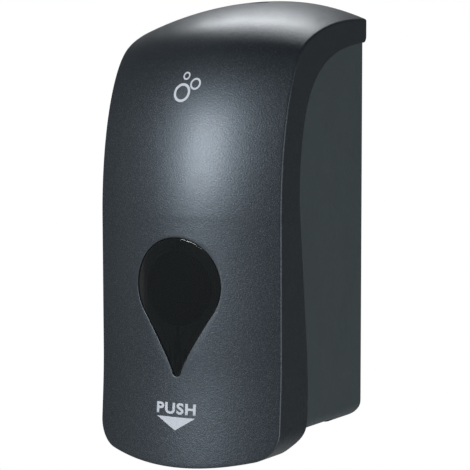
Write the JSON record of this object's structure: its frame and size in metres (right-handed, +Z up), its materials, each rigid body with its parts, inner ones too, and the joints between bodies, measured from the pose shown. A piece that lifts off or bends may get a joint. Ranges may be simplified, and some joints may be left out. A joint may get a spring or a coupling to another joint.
{
  "type": "wall mounted soap dispenser",
  "caption": "Wall mounted liquid soap dispenser: domed push cover with a drop shaped sight window, over a tank and a hand pump.",
  "frame": {"origin": "on the wall plane, at the centre of the four wall screw holes", "axes": "+Z up, +Y into the wall, the cover faces -Y, X across"},
  "size_m": [0.12, 0.1266, 0.2707],
  "materials": {
    "cover_paint": "satin metallic blue-grey paint on ABS",
    "housing_abs": "fine matte moulded ABS",
    "smoked_lens": "glossy smoked acrylic",
    "frame_plastic": "satin glass-filled nylon",
    "dark_plastic": "satin polypropylene",
    "tank_plastic": "milky translucent polyethylene",
    "acetal": "slippery natural acetal",
    "steel": "brushed stainless steel",
    "lock_chrome": "nickel plated",
    "lock_brass": "turned brass",
    "black_rubber": "matte rubber",
    "red_silicone": "matte silicone",
    "clear_silicone": "milky silicone"
  },
  "bodies": {
    "housing": {"rear_housing": "housing_abs", "hinge_pins": "steel", "rest_pads": "black_rubber", "soap_tank": "tank_plastic", "tank_lid": "dark_plastic", "lid_gasket": "red_silicone", "tank_clips": "frame_plastic", "pump_bracket": "frame_plastic", "bracket_screws": "steel", "pump_body": "tank_plastic", "gland_cap": "dark_plastic", "neck_nut": "dark_plastic", "neck_seal": "red_silicone", "inlet_ball": "steel", "ball_cage": "frame_plastic", "outlet_valve": "clear_silicone", "nozzle": "dark_plastic", "return_spring": "steel"},
    "push_frame": {"push_frame": "frame_plastic", "frame_bushes": "acetal", "press_pad": "acetal", "frame_pins": "steel", "barrel_bush": "lock_brass"},
    "plunger": {"plunger_rod": "acetal", "plunger_head": "dark_plastic", "piston": "frame_plastic", "piston_seals": "black_rubber"},
    "lock": {"lock_barrel": "lock_chrome", "lock_cam": "lock_chrome", "barrel_clip": "steel"},
    "cover": {"front_cover": "cover_paint", "window_lens": "smoked_lens", "window_gasket": "black_rubber", "cover_arms": "frame_plastic", "arm_screws": "steel", "cover_catch": "frame_plastic", "catch_screw": "steel"}
  },
  "joints": [
    {"name": "push", "type": "hinge", "parent": "housing", "child": "push_frame", "pos_m": [0, -0.025, 0.111], "axis": [1, 0, 0], "range_deg": [0, 4], "stiffness_Nm_per_rad": 36, "springref_deg": -2.41},
    {"name": "cover_open", "type": "hinge", "parent": "push_frame", "child": "cover", "pos_m": [0, -0.072, -0.11], "axis": [1, 0, 0], "range_deg": [0, 80]},
    {"name": "lock", "type": "hinge", "parent": "push_frame", "child": "lock", "pos_m": [0, -0.025, 0.111], "axis": [0, 0, -1], "range_deg": [0, 90]},
    {"name": "plunger", "type": "slide", "parent": "housing", "child": "plunger", "axis": [0, 1, 0], "range_m": [0, 0.0139], "deforming": ["return_spring"]}
  ],
  "couplings": [
    {"joint": "plunger", "follows": "push", "m_per_rad": 0.19748}
  ]
}
